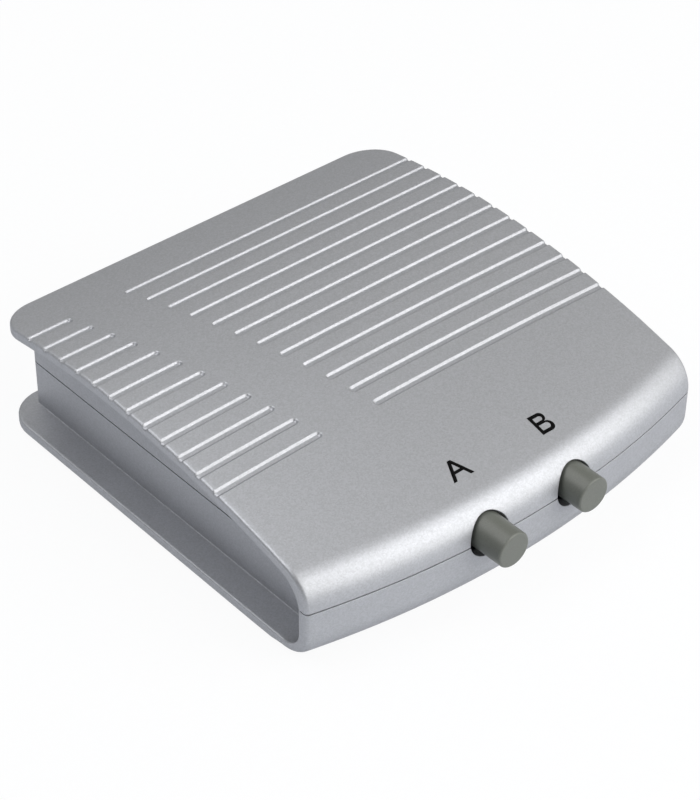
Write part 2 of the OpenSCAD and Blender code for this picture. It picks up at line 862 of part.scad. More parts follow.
top_shell();
bottom_shell();
button_a();
button_b();
plunger_a();
plunger_b();
switch_body_a();
switch_body_b();
contact_clips_a();
contact_clips_b();
switch_pins_a();
switch_pins_b();
switch_frame();
rocker();
rocker_pin();
detent_spring();
circuit_board();
input_port_a();
input_port_b();
output_port();
input_tongue_a();
input_tongue_b();
output_tongue();
input_contacts_a();
input_contacts_b();
output_contacts();
case_screws();
board_screws();
rubber_feet();
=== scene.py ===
# %% [markdown]
# # A two-way HDMI switch
# A small desk box with two push buttons: it sends one of two picture sources to one screen. The case is a
# clamshell of two silver-painted mouldings with a bowed front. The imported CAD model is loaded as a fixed
# frame, the two case halves and the button caps are drawn again as smooth surfaces, and every other CAD
# piece keeps its mesh and gets a finish.

# %% Load the frame
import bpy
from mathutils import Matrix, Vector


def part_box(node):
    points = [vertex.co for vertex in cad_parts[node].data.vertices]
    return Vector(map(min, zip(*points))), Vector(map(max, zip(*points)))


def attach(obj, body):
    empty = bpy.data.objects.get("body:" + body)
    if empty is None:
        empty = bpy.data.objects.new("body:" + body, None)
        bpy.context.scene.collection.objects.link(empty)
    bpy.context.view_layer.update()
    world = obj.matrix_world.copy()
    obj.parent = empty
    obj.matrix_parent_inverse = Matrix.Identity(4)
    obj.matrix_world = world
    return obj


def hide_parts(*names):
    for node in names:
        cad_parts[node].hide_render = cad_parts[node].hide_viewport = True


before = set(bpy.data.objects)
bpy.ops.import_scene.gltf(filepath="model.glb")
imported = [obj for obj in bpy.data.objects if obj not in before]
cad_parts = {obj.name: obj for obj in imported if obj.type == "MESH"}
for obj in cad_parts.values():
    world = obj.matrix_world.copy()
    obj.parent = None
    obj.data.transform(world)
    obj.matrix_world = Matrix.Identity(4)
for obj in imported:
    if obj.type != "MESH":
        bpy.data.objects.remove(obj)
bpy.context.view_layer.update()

from types import SimpleNamespace

import bpy
import numpy as np
from mathutils import Euler, Vector

# %% [markdown]
# ## Measuring the case
# All shapes below are worked out in millimetres in a local frame: y runs back from the middle of the bowed
# front, and z runs up from the underside. Overall sizes come from the CAD boxes, so the surfaces stay on the
# solids that they stand for. The radii repeat the ones that the solids were drawn with.

# %% Sizes from the frame
MM = 1000.0


def box_mm(node):
    """Lowest and highest corner of a CAD node, in millimetres in the local frame."""
    low, high = (np.array(corner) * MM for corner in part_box(node))
    return low - ORIGIN, high - ORIGIN


ORIGIN = np.zeros(3)
case_low, _ = box_mm("bottom_shell")
ORIGIN = np.array([0.0, case_low[1], case_low[2]])
top_low, top_high = box_mm("top_shell")
HALF_W, CASE_D, CASE_H = top_high
SEAM = top_low[2]

WALL = 2.5  # thickness of the mouldings
BOW_R = 218.0  # front, seen from above
CROWN_R = 230.0  # top, seen from the side
CROWN_FRONT = 67.0  # from the front back to the level middle of the top
CROWN_BACK = 41.0  # from the back forward to it
NOSE_R = 8.5  # upper front edge
HEEL_R = 7.5  # lower front edge
CORNER_R = 9.0  # rear corners, seen from above
print("case", 2 * HALF_W, CASE_D, CASE_H, "seam at", SEAM)

# %% [markdown]
# ## One function for a bent sheet
# Each case half is one sheet of plastic, 2.5 mm thick. Going from the seam, it runs straight along the front,
# bends round an edge, and goes on as the plate. It could be modelled with an extruded profile and a bevel, but
# then the bow, the crown and the rounded edges would all need repair. Instead one function takes a distance
# along the sheet and a depth below its skin and gives the point, so every face of the sheet is exact.

# %% The bent sheet
crown_axis = CASE_H - CROWN_R
nose_z = crown_axis + np.sqrt((CROWN_R - NOSE_R) ** 2 - (CROWN_FRONT - NOSE_R) ** 2)
nose_sweep = np.arccos((CROWN_FRONT - NOSE_R) / (CROWN_R - NOSE_R))
top = SimpleNamespace(side=1, straight=nose_z - SEAM, edge_r=NOSE_R, sweep=nose_sweep)
bottom = SimpleNamespace(side=-1, straight=SEAM - HEEL_R, edge_r=HEEL_R, sweep=np.pi / 2)
for half in (top, bottom):
    half.plate_q = half.straight + half.edge_r * half.sweep
    half.plate_start = half.edge_r * (1 - np.cos(half.sweep))

# lines across a plate follow the bow up to the first distance from the front, and are straight past the second
STRAIGHT_FROM, STRAIGHT_TO = 9.0, 31.0
# where the columns of the front give way to those of the plate, and over what length
top.blend_from, top.blend_over = top.plate_start + 2, STRAIGHT_TO - top.plate_start
bottom.blend_from, bottom.blend_over = bottom.plate_start, 1.5


def smooth_step(t):
    """0 below 0, 1 above 1 and an even S between them: 3t^2 - 2t^3."""
    t = np.clip(t, 0, 1)
    return t * t * (3 - 2 * t)


def bow(back, x):
    """y of a line that lies a distance behind the bowed front: an arc about one upright axis."""
    return BOW_R - np.sqrt((BOW_R - back) ** 2 - x ** 2)


def behind(x, y):
    """Distance of a plan point behind the bowed front: the bow radius less the distance to its axis."""
    return BOW_R - np.hypot(x, BOW_R - y)


def crown(x, y, depth):
    """Height of the top plate at a depth below its skin. The crown is level in the middle and falls along one
    arc to the front, measured behind the bow, and along an equal arc to the back."""
    front = np.maximum(CROWN_FRONT - behind(x, y), 0)
    back = np.maximum(y - (CASE_D - CROWN_BACK), 0)
    return crown_axis + np.sqrt((CROWN_R - depth) ** 2 - np.maximum(front, back) ** 2)


def sheet_point(half, x, q, depth):
    """Point of a case half: q is the length along the sheet from the seam, depth goes in from the skin.
    Front and edge: a straight part and an arc, carried round the bow. Plate: lines that follow the bow near
    the front and become straight further back, at the crown's height or level on the bottom."""
    turn = np.clip((q - half.straight) / half.edge_r, 0, half.sweep)
    back = half.edge_r - (half.edge_r - depth) * np.cos(turn)
    rise = np.clip(q, 0, half.straight) + (half.edge_r - depth) * np.sin(turn)
    y_front = bow(back, x)
    z_front = SEAM + half.side * rise

    line = half.plate_start + np.maximum(q - half.plate_q, 0)
    straight = smooth_step((line - STRAIGHT_FROM) / (STRAIGHT_TO - STRAIGHT_FROM))
    y_skin = (1 - straight) * bow(np.minimum(line, STRAIGHT_TO), x) + straight * line
    if half.side > 0:
        lean = np.maximum(CROWN_FRONT - behind(x, y_skin), 0) / CROWN_R
        y_plate = y_skin + depth * lean
        z_plate = crown(x, y_plate, depth)
    else:
        y_plate = y_skin
        z_plate = depth + 0 * x
    on_plate = q > half.plate_q
    y = np.where(on_plate, y_plate, y_front)
    z = np.where(on_plate, z_plate, z_front)
    return np.stack(np.broadcast_arrays(x, y, z), axis=-1)


print("nose starts at", round(nose_z, 2), "and turns", round(np.degrees(nose_sweep), 1), "degrees")

# %% [markdown]
# ## From arrays to objects
# A surface here is an array of points and an array of faces. One helper joins such surfaces into a mesh,
# shades it smooth apart from its real corners, and leaves the object at the origin, where every CAD piece
# sits too.

# %% Helpers for meshes
CORNER_DEGREES = 38


def grid_faces(rows, cols):
    """Four-sided faces of a grid whose points are numbered row by row."""
    row, col = np.meshgrid(np.arange(rows - 1), np.arange(cols - 1), indexing="ij")
    first = (row * cols + col).ravel()
    return np.stack([first, first + 1, first + cols + 1, first + cols], axis=1)


def make_piece(name, surfaces, finish, body, slot, *nodes):
    """Joins surfaces, each points in mm and lists of faces, into one object that rides on a body."""
    points, faces, start = [], [], 0
    for surface_points, face_lists in surfaces:
        points.append(surface_points.reshape(-1, 3))
        for face_list in face_lists:
            faces.extend((np.asarray(face_list) + start).tolist())
        start += len(points[-1])
    mesh = bpy.data.meshes.new(name)
    mesh.from_pydata(((np.concatenate(points) + ORIGIN) / MM).tolist(), [], faces)
    mesh.polygons.foreach_set("use_smooth", np.ones(len(faces), bool))
    mesh.set_sharp_from_angle(angle=np.radians(CORNER_DEGREES))
    mesh.materials.append(finish)
    piece = bpy.data.objects.new(name, mesh)
    bpy.context.scene.collection.objects.link(piece)
    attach(piece, body)
    if nodes:
        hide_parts(*nodes)
    print(name, len(mesh.vertices), "points", len(faces), "faces")
    return piece


print("edges that turn by more than", CORNER_DEGREES, "degrees stay sharp")

# %% [markdown]
# ## Helpers for finishes
# Colours are written as they look on a screen, as sRGB hex values, and one function turns them to the linear
# values that the shader works with. One more function adds a node. Patterns use Object coordinates, which
# are metres here, so a scale is one over a real size.

# %% Colour and node helpers
RELIEF_STRENGTH = 0.5


def colour(hex_value):
    """Linear RGBA of an sRGB hex value such as 9a9da0."""
    srgb = np.array([int(hex_value[i:i + 2], 16) for i in (0, 2, 4)]) / 255
    linear = np.where(srgb <= 0.04045, srgb / 12.92, ((srgb + 0.055) / 1.055) ** 2.4)
    return (*linear.tolist(), 1.0)


def per_metre(size_mm):
    """Texture scale of a pattern whose cells have a real size in millimetres."""
    return MM / size_mm


def add_node(finish, kind, values=None, links=None, **settings):
    """Adds one node to a finish: settings are its properties, values fill sockets, links feed sockets."""
    node = finish.node_tree.nodes.new(kind)
    for name, value in settings.items():
        setattr(node, name, value)
    for socket, value in (values or {}).items():
        node.inputs[socket].default_value = value
    for socket, source in (links or {}).items():
        finish.node_tree.links.new(source, node.inputs[socket])
    return node


def new_finish(name, **values):
    """A new material: its Principled shader takes plain values, and its Object coordinates are returned."""
    finish = bpy.data.materials.new(name)
    finish.use_nodes = True
    shader = finish.node_tree.nodes["Principled BSDF"]
    for socket, value in values.items():
        shader.inputs[socket.replace("_", " ")].default_value = value
    place = add_node(finish, "ShaderNodeTexCoord").outputs["Object"]
    return finish, shader, place


def lead_finish(finish, shader, patterns, tones, gloss, height_mm, tone_span=(0.3, 0.7)):
    """Lets three patterns between 0 and 1 lead a finish: the first its colour, from dark to light over the tone
    span, the second its roughness, between two values, and the third a relief of a real height in millimetres."""
    ramp = add_node(finish, "ShaderNodeValToRGB", links={"Fac": patterns[0]})
    for stop, position, tone in zip(ramp.color_ramp.elements, tone_span, tones):
        stop.position, stop.color = position, colour(tone)
    rough = add_node(finish, "ShaderNodeMapRange", {"To Min": gloss[0], "To Max": gloss[1]},
                     {"Value": patterns[1]})
    bump = add_node(finish, "ShaderNodeBump", {"Distance": height_mm / MM, "Strength": RELIEF_STRENGTH},
                    {"Height": patterns[2]})
    for node, socket in ((ramp, "Base Color"), (rough, "Roughness"), (bump, "Normal")):
        finish.node_tree.links.new(node.outputs[0], shader.inputs[socket])


print("silver in linear light:", [round(v, 3) for v in colour("9a9da0")])

# %% [markdown]
# ## Silver paint
# The case is moulded ABS with a metallic lacquer. Tiny aluminium flakes lie at slightly different angles in a
# grey binder, so the surface is half mirror and half matt, with a fine grain. A Voronoi pattern gives each
# flake its own brightness, gloss and height. Real flakes are some 0.05 mm wide, which no picture of the whole
# box shows, so they are drawn 0.3 mm wide. At a low angle the grey binder dims what the flakes mirror, so the
# edge tint is grey and not white.

# %% Silver paint finish
FLAKE_MM = 0.3
EDGE_TINT = colour("b0b0b2")
silver_paint, shader, place = new_finish("silver_flake_lacquer", Metallic=0.62, Specular_Tint=EDGE_TINT)
flakes = add_node(silver_paint, "ShaderNodeTexVoronoi", {"Scale": per_metre(FLAKE_MM)}, {"Vector": place})
flake_value = add_node(silver_paint, "ShaderNodeSeparateColor", links={"Color": flakes.outputs["Color"]})
lead_finish(silver_paint, shader, flake_value.outputs, ("a4a6ab", "b0b2b8"), (0.4, 0.5), 0.004, (0.0, 1.0))
print("flakes of", FLAKE_MM, "mm")

# %% [markdown]
# ## The rows and columns of a case half
# A grid covers the skin of each half. Its first row starts at the seam, or on the edge of a button hole, its
# last row ends at the back edge, and near the back its width shrinks along the rounded corners. The same grid
# can be drawn in from the outline by a small distance. That is how all the rounded edges are made: each step
# of a rounding is the border of the same grid, drawn in a little less and a little deeper.

# %% Edges and button holes
# roundings: along the sides, at the ends of the front, at the tips of the heel, inside, at the seam, at the holes
SIDE_LIP, FRONT_LIP, TIP_LIP, INNER_LIP, SEAM_LIP, HOLE_LIP = 0.65, 0.8, 1.5, 0.4, 0.05, 0.12
# lengths over which the front's rounding fades to the sides' one, and the tip's one to the front's
SIDE_FADE, TIP_FADE = 14, 4
# where the tip's rounding begins and over what length, as shares of the way from the seam to the plate
TIP_FROM, TIP_OVER = 0.3, 0.4
CORNER_STEPS = 12
HALF_GAP = 0.16  # half of the gap at the seam
GAP_DEEP = 1.9  # where the step closes it
HOLE_R = 5.1
HOLE_CELLS = 20
HOLE_EDGE = 0.02  # how far the extra column lies beside a hole
CLOSE_SHARE = 0.2  # of a step: where the extra column lies beside a rounding

caps = {}
for letter in "ab":
    low, high = box_mm("button_" + letter)
    caps[letter] = SimpleNamespace(x=(low[0] + high[0]) / 2, z=(low[2] + high[2]) / 2,
                                   r=(high[2] - low[2]) / 2, front=low[1], back=high[1])
# each cap stands a little to the right of its hole's middle, and above it
HOLE_XS = [caps["a"].x - 0.25, caps["b"].x - 0.4]
HOLE_RISE = caps["a"].z - 0.2 - SEAM


def spread(low, high, shares):
    """Positions between two limits, one row for each pair of limits and one column for each share."""
    low, high = np.broadcast_arrays(low, high)
    return low[:, None] + (high - low)[:, None] * shares


def edge_shares(cells, near_low, near_high):
    """Shares from 0 to 1 with extra columns close to the ends that meet a rounding."""
    shares = np.linspace(0, 1, cells + 1 - near_low - near_high)
    close = CLOSE_SHARE * shares[1]
    extra = [close] * near_low + [1 - close] * near_high
    return np.sort(np.append(shares, extra))


def front_columns(half_w, reach, cells):
    """x of the columns on the front: even steps, cosine steps across both button holes, and one more column
    right beside each end of a hole."""
    a, b = HOLE_XS
    arc = -reach * np.cos(np.linspace(0, np.pi, HOLE_CELLS + 1))
    arc = np.concatenate([[-reach - HOLE_EDGE], arc, [reach + HOLE_EDGE]])
    reach = reach + HOLE_EDGE
    rest = cells - 2 * (HOLE_CELLS + 2)
    middle = rest // 5
    left = (rest - middle) // 2
    none = np.zeros_like(half_w)
    return np.hstack([
        spread(-half_w, a - reach + none, edge_shares(left, 1, 0))[:, :-1],
        a + arc + none[:, None],
        spread(a + reach + none, b - reach + none, np.linspace(0, 1, middle + 1))[:, 1:-1],
        b + arc + none[:, None],
        spread(b + reach + none, half_w, edge_shares(rest - middle - left, 0, 1))[:, 1:]])


def hole_start(half, x, hole_r):
    """Length along the sheet at which it starts on the rim of a round hole, or -1 beside the holes. The height
    above the seam is the hole's own rise and the half chord; on the bend it turns into arc length."""
    chord = np.maximum.reduce([hole_r ** 2 - (x - mid) ** 2 for mid in HOLE_XS])
    height = half.side * HOLE_RISE + np.sqrt(np.maximum(chord, 0))
    bend = np.arcsin(np.clip((height - half.straight) / half.edge_r, 0, 1))
    start = np.minimum(height, half.straight) + half.edge_r * bend
    return np.where(chord > -1e-9, start, -1)


def grid_lines(half, plate_columns, lip_share, rim_share, gap):
    """x and q of the grid, drawn in by lip_share of the outer rounding and rim_share of the inner one, with its
    first row a gap away from the seam."""
    inset = lip_share * half.lips + rim_share * INNER_LIP
    hole_r = HOLE_R + lip_share * HOLE_LIP
    seam_q = gap + lip_share * SEAM_LIP
    reach = hole_r if half.side > 0 else np.sqrt(hole_r ** 2 - (HOLE_RISE + seam_q) ** 2)
    turn = half.corner_turn
    half_w = HALF_W - inset - (CORNER_R - inset) * (1 - np.cos(turn))
    line = half.lines + (turn > 0) * ((CORNER_R - inset) * np.sin(turn))
    across = plate_columns(half_w, line)
    front = front_columns(half_w, reach, across.shape[1] - 1)
    share = smooth_step((line - half.blend_from) / half.blend_over)[:, None]
    x = (1 - share) * front + share * across
    rim = hole_start(half, x, hole_r)
    start = np.maximum(rim, seam_q)
    q_front = start + (half.plate_q - start) * half.front_shares[:, None]
    q_plate = half.plate_q + line[:, None] - half.plate_start
    return x, np.where(half.front_shares[:, None] < 1, q_front, q_plate), rim > seam_q


def set_rows(half, front_rows, plate_lines):
    """Rows of a grid: shares of the front, then lines on the plate, then steps round the rear corners."""
    turns = np.linspace(0, np.pi / 2, CORNER_STEPS + 1)[1:]
    corner_line = CASE_D - CORNER_R
    none = np.zeros(front_rows)
    half.front_shares = np.concatenate([np.linspace(0, 1, front_rows + 1)[:-1],
                                        np.ones(len(plate_lines) + len(turns))])
    half.lines = np.concatenate([none + half.plate_start, plate_lines, np.full(len(turns), corner_line)])
    half.corner_turn = np.concatenate([none, 0 * plate_lines, turns])
    tip_lip = FRONT_LIP if half.side > 0 else TIP_LIP
    past_edge = half.lines - half.plate_start
    at_tip = smooth_step((half.front_shares - TIP_FROM) / TIP_OVER) * (1 - smooth_step(past_edge / TIP_FADE))
    half.lips = (FRONT_LIP + (SIDE_LIP - FRONT_LIP) * smooth_step(past_edge / SIDE_FADE)
                 + (tip_lip - FRONT_LIP) * at_tip)


print("button holes at", np.round(HOLE_XS, 2), "cap radius", round(caps["a"].r, 2))

# %% [markdown]
# ## Closing a sheet
# The skin is the outside, and the same grid at full depth is the inside. Between their borders run a few rings
# that round the edges. The two halves leave a fine gap between them: it shows as a dark line, and a step closes
# it deep inside. Faces that share border points keep the sheet closed.

# %% Sheet builder
NOSE_SWELL = 0.45
SWELL_PAST = 2  # how far the swell reaches past both ends of the nose
LIP_STEPS, RIM_STEPS = 6, 4
STEP_RUN = 0.05  # the step in the seam is a little slanted


def inner_depth(half, q):
    """Thickness of the sheet: even, with a smooth swell inside the nose, where two rounds of nearly the same
    radius lie behind each other."""
    past = np.clip((q - half.straight + SWELL_PAST) / (half.plate_q - half.straight + 2 * SWELL_PAST), 0, 1)
    return WALL + (half.side > 0) * NOSE_SWELL * np.sin(np.pi * past) ** 2


def border(grid):
    """Border of a grid, walked once round: first row, right column, last row, left column."""
    return np.concatenate([grid[0], grid[1:, -1], grid[-1, -2::-1], grid[-2:0:-1, 0]])


def closed_sheet(half, plate_columns, skin_depth, skin_warp=None, inner_warp=None):
    """Closed sheet: skin grid, inner grid, and rings (lip arc, step at the seam, inner rim arc) between their
    borders."""
    x, q, _ = grid_lines(half, plate_columns, 1, 0, HALF_GAP)
    cut = skin_depth(x, q)
    skin = sheet_point(half, x, q, cut)
    x_in, q_in, _ = grid_lines(half, plate_columns, 0, 1, 0)
    inner = sheet_point(half, x_in, q_in, inner_depth(half, q_in))
    if skin_warp:
        skin, inner = skin_warp(skin), inner_warp(inner)
    rows, cols = x.shape

    rings = []
    for turn in np.linspace(0, np.pi / 2, LIP_STEPS + 1)[1:]:
        x, q, in_hole = grid_lines(half, plate_columns, 1 - np.sin(turn), 0, HALF_GAP)
        lips = half.lips[:, None] + 0 * x
        lips[0, 1:-1] = np.where(in_hole[0], HOLE_LIP, SEAM_LIP)[1:-1]
        rings.append(border(sheet_point(half, x, q, cut + lips * (1 - np.cos(turn)))))
    for depth, gap in ((GAP_DEEP, HALF_GAP), (GAP_DEEP + STEP_RUN, 0)):
        x, q, _ = grid_lines(half, plate_columns, 0, 0, gap)
        rings.append(border(sheet_point(half, x, q, depth)))
    for turn in np.linspace(0, np.pi / 2, RIM_STEPS + 1)[:-1]:
        x, q, _ = grid_lines(half, plate_columns, 0, 1 - np.cos(turn), 0)
        rings.append(border(sheet_point(half, x, q, inner_depth(half, q) - INNER_LIP * (1 - np.sin(turn)))))

    numbers = np.arange(rows * cols).reshape(rows, cols)
    ring_numbers = 2 * rows * cols + np.arange(len(rings) * len(rings[0])).reshape(len(rings), -1)
    loops = np.vstack([border(numbers), ring_numbers, border(numbers) + rows * cols])
    ahead = np.roll(loops, -1, axis=1)
    strips = np.stack([ahead[:-1], loops[:-1], loops[1:], ahead[1:]], axis=-1).reshape(-1, 4)
    faces = np.concatenate([grid_faces(rows, cols), grid_faces(rows, cols)[:, ::-1] + rows * cols, strips])
    points = np.concatenate([skin.reshape(-1, 3), inner.reshape(-1, 3), *rings])
    return points, [faces[:, ::half.side]]


print("sheets are", WALL, "mm thick, and", WALL + NOSE_SWELL, "mm inside the nose")

# %% [markdown]
# ## The grooved top
# Twelve straight grooves cross the top. A bare diagonal band breaks each of them into a short piece on the left
# and a long piece on the right, with round ends. They could be cut with a boolean, which leaves long thin
# faces. Here they are part of the skin's depth: a smooth step of the distance to each groove's middle line.
# Rows lie close together across the grooves, and columns follow the slanted line of the round ends.

# %% Grooves and the columns of the top
GROOVES = 12
GROOVE_PITCH = 5.8
GROOVE_R = 0.925
GROOVE_DEPTH = 0.5
GROOVE_SOFT = 0.6  # width of the sloping sides
GROOVE_FLARE = 0.06  # how far they start outside the radius
FIRST_GROOVE = CASE_D - 13.6
FIRST_TIP = -HALF_W + 11.3
TIP_STEP = 1.5  # from the end of one groove to the next
BAND = 14.4
BAND_PAST = 0.2  # how far the slant goes on behind the rear groove, in pitches
LEFT_CELLS, BAND_CELLS, RIGHT_CELLS = 6, 4, 40
TIP_STEPS = np.array([-2.0, -1.5, -1.1, -0.85, -0.65, -0.5, -0.37, -0.25, -0.14, -0.05, 0.05, 0.2, 0.6])


def groove_depth(x, q):
    """Depth of the grooves: each is a slot with round ends, open at the sides of the plate."""
    y = top.plate_start + q - top.plate_q
    number = np.clip(np.round((FIRST_GROOVE - y) / GROOVE_PITCH), 0, GROOVES - 1)
    across = y - FIRST_GROOVE + number * GROOVE_PITCH
    short_end = FIRST_TIP + number * TIP_STEP - GROOVE_R
    long_end = short_end + BAND + 2 * GROOVE_R
    past_end = np.minimum(np.maximum(x - short_end, 0), np.maximum(long_end - x, 0))
    inside = GROOVE_R + GROOVE_FLARE - np.hypot(past_end, across)
    return GROOVE_DEPTH * smooth_step(inside / GROOVE_SOFT)


def top_columns(half_w, line):
    """x of the columns on the top: the close columns at the groove ends follow the slanted band."""
    number = np.clip((FIRST_GROOVE - line) / GROOVE_PITCH, -BAND_PAST, GROOVES)
    short_tip = FIRST_TIP + number * TIP_STEP
    long_tip = short_tip + BAND
    low, high = TIP_STEPS[0], TIP_STEPS[-1]
    return np.hstack([
        spread(-half_w, short_tip + low, edge_shares(LEFT_CELLS, 1, 0))[:, :-1],
        short_tip[:, None] + TIP_STEPS,
        spread(short_tip + high, long_tip - high, np.linspace(0, 1, BAND_CELLS + 1))[:, 1:-1],
        long_tip[:, None] - TIP_STEPS[::-1],
        spread(long_tip - low, half_w, edge_shares(RIGHT_CELLS, 0, 1))[:, 1:]])


across_groove = np.array([-1.25, -1.0, -0.9, -0.8, -0.7, -0.6, -0.5, -0.4, -0.27, 0])
across_groove = np.append(across_groove, -across_groove[-2::-1])
groove_lines = (FIRST_GROOVE - GROOVE_PITCH * np.arange(GROOVES)[::-1, None] + across_groove).ravel()
NOSE_ROWS, PLAIN_ROWS, BACK_ROWS = 28, 15, 2
plain_lines = np.linspace(top.plate_start, groove_lines[0], PLAIN_ROWS + 1)[:-1]
back_lines = np.linspace(groove_lines[-1], CASE_D - CORNER_R, BACK_ROWS + 1)[1:]
set_rows(top, NOSE_ROWS, np.concatenate([plain_lines, groove_lines, back_lines]))
top_sheet = closed_sheet(top, top_columns, groove_depth)
print("top sheet:", len(top_sheet[0]), "points")

# %% [markdown]
# ## The flat bottom
# The bottom half is the same kind of sheet, bent round the lower front edge and level from there on. Four round
# recesses lead up to the case screws. Their rims are circles in a square grid: in a block of cells round each
# screw the grid is bent so that one of its square rings becomes the circle.

# %% Screw recesses and the bottom sheet
screw_low, screw_high = box_mm("case_screws")
SCREW_HEAD_R, SCREW_HEAD_H = 2.8, 1.9
SCREW_X = screw_high[0] - SCREW_HEAD_R
SCREW_YS = (screw_low[1] + SCREW_HEAD_R, screw_high[1] - SCREW_HEAD_R)
RECESS_R = 3.05
RECESS_DEEP = screw_low[2] + SCREW_HEAD_H
POST_R = 4.25
POST_GAP = 0.1
POST_DEEP = SEAM - POST_GAP
BLOCK = 5.4  # half the width of the block of cells round a screw
RING = np.array([0.0, 0.3, 0.55, 0.64, 0.67, 0.72, 0.84, 1.0])
RIM = 0.67
BLOCK_STEPS = np.append(-RING[:0:-1], RING)
SIDE_CELLS, MIDDLE_CELLS = 6, 28
HEEL_ROWS, GAP_ROWS = 20, 22


def bottom_columns(half_w, line):
    """x of the columns on the bottom: even steps, and close steps through the screw blocks."""
    none = np.zeros_like(half_w)
    return np.hstack([
        spread(-half_w, none - SCREW_X - BLOCK, edge_shares(SIDE_CELLS, 1, 0))[:, :-1],
        none[:, None] - SCREW_X + BLOCK * BLOCK_STEPS,
        spread(none - SCREW_X + BLOCK, none + SCREW_X - BLOCK, np.linspace(0, 1, MIDDLE_CELLS + 1))[:, 1:-1],
        none[:, None] + SCREW_X + BLOCK * BLOCK_STEPS,
        spread(none + SCREW_X + BLOCK, half_w, edge_shares(SIDE_CELLS, 0, 1))[:, 1:]])


def ring_block(points, rim_r, deep):
    """Bends the blocks round the screws: the square ring RIM becomes a circle of rim_r, and what lies within it
    moves to a new height. Further out the bend fades to nothing at the edge of the block."""
    points = points.copy()
    for x_first, x_sign in zip(BLOCK_COLUMNS, (-1, 1)):
        for row_first, y_screw in zip(BLOCK_ROWS, SCREW_YS):
            part = points[row_first:row_first + len(BLOCK_STEPS), x_first:x_first + len(BLOCK_STEPS)]
            down, across = np.meshgrid(BLOCK_STEPS, BLOCK_STEPS, indexing="ij")
            ring = np.maximum(np.abs(down), np.abs(across))
            length = np.maximum(np.hypot(down, across), 1e-9)
            circle = np.stack([x_sign * SCREW_X + rim_r * np.minimum(ring / RIM, 1) * across / length,
                               y_screw + rim_r * np.minimum(ring / RIM, 1) * down / length], axis=-1)
            fade = smooth_step((ring - RIM) / (1 - RIM))[..., None]
            part[..., :2] = (1 - fade) * circle + fade * part[..., :2]
            part[..., 2] = np.where(ring < RIM - 1e-6, deep, part[..., 2])
    return points


# the plate's line that passes the front screws, found on a row of trial points
trial = np.linspace(bottom.plate_start, STRAIGHT_TO, 400)
trial_y = sheet_point(bottom, SCREW_X + 0 * trial, bottom.plate_q + trial - bottom.plate_start, 0.0)[:, 1]
block_mids = np.array([np.interp(SCREW_YS[0], trial_y, trial), SCREW_YS[1]])
BLOCK_LENGTHS = BLOCK * np.array([[0.8], [0.9]])
front_block, back_block = block_mids[:, None] + BLOCK_LENGTHS * BLOCK_STEPS
gap_lines = np.linspace(front_block[-1], back_block[0], GAP_ROWS + 2)[1:-1]
bottom_lines = np.concatenate([[bottom.plate_start], front_block, gap_lines, back_block])
set_rows(bottom, HEEL_ROWS, bottom_lines)
BLOCK_ROWS = HEEL_ROWS + 1 + np.array([0, len(front_block) + GAP_ROWS])
BLOCK_COLUMNS = SIDE_CELLS + np.array([0, len(BLOCK_STEPS) + MIDDLE_CELLS - 1])
bottom_sheet = closed_sheet(bottom, bottom_columns, lambda x, q: 0 * x,
                            lambda grid: ring_block(grid, RECESS_R, RECESS_DEEP),
                            lambda grid: ring_block(grid, POST_R, POST_DEEP))
print("bottom sheet:", len(bottom_sheet[0]), "points, screw recesses", round(RECESS_DEEP, 2), "deep")

# %% [markdown]
# ## The recessed walls
# Between the two plates runs a ring of walls, set back from the plate edges, so that each side of the box is a
# deep C. The halves meet along the middle of these walls. A wall is one cross-section carried along its plan:
# a step at the seam, the outer face, a little round foot where it meets the plate, and the inner face.
# At the back the lower wall dips round the three sockets.

# %% Wall builder
SIDE_INSET = 7.1
REAR_INSET = 2.2
SIDE_WALL = 2.0
WALL_CORNER_R = 2.5
INNER_CORNER_R = 1.0
WALL_X = HALF_W - SIDE_INSET
WALL_Y = CASE_D - REAR_INSET
STEP_IN = 1.4  # where the step in the seam lies
FOOT_R = 0.2
SUNK = 0.3  # how far the wall reaches into the sheet
SIDE_POINTS = 48
TURN_STEPS, FOOT_STEPS = 8, 5


def inner_face(half, x, y):
    """Height of the sheet's inner face over a plan point: the arc of the edge near the front, or the plate."""
    back = np.maximum(behind(x, y), WALL)
    inner_r = half.edge_r - WALL
    arc = half.straight + np.sqrt(np.maximum(inner_r ** 2 - (half.edge_r - back) ** 2, 0))
    plate = crown(x, y, WALL) if half.side > 0 else WALL + 0 * x
    on_arc = back < half.edge_r - inner_r * np.cos(half.sweep)
    return np.where(on_arc, SEAM + half.side * arc, plate)


def wall_plan(inset, corner_r, rear_xs):
    """Plan of the walls: left side, rear corner, rear, rear corner, right side."""
    turn = np.linspace(0, np.pi / 2, TURN_STEPS + 1)
    x, y = WALL_X - inset, WALL_Y - inset
    side_y = np.linspace(bow(WALL - SUNK, WALL_X), WALL_Y - WALL_CORNER_R, SIDE_POINTS)
    side_y[-1] = min(side_y[-1], y - corner_r)
    corner = np.stack([x - corner_r * (1 - np.cos(turn)), y - corner_r * (1 - np.sin(turn))], axis=1)
    right = np.concatenate([np.stack([x + 0 * side_y, side_y], axis=1), corner])
    rear = np.stack([rear_xs, y + 0 * rear_xs], axis=1)
    return np.concatenate([right * [-1, 1], rear, right[::-1]])


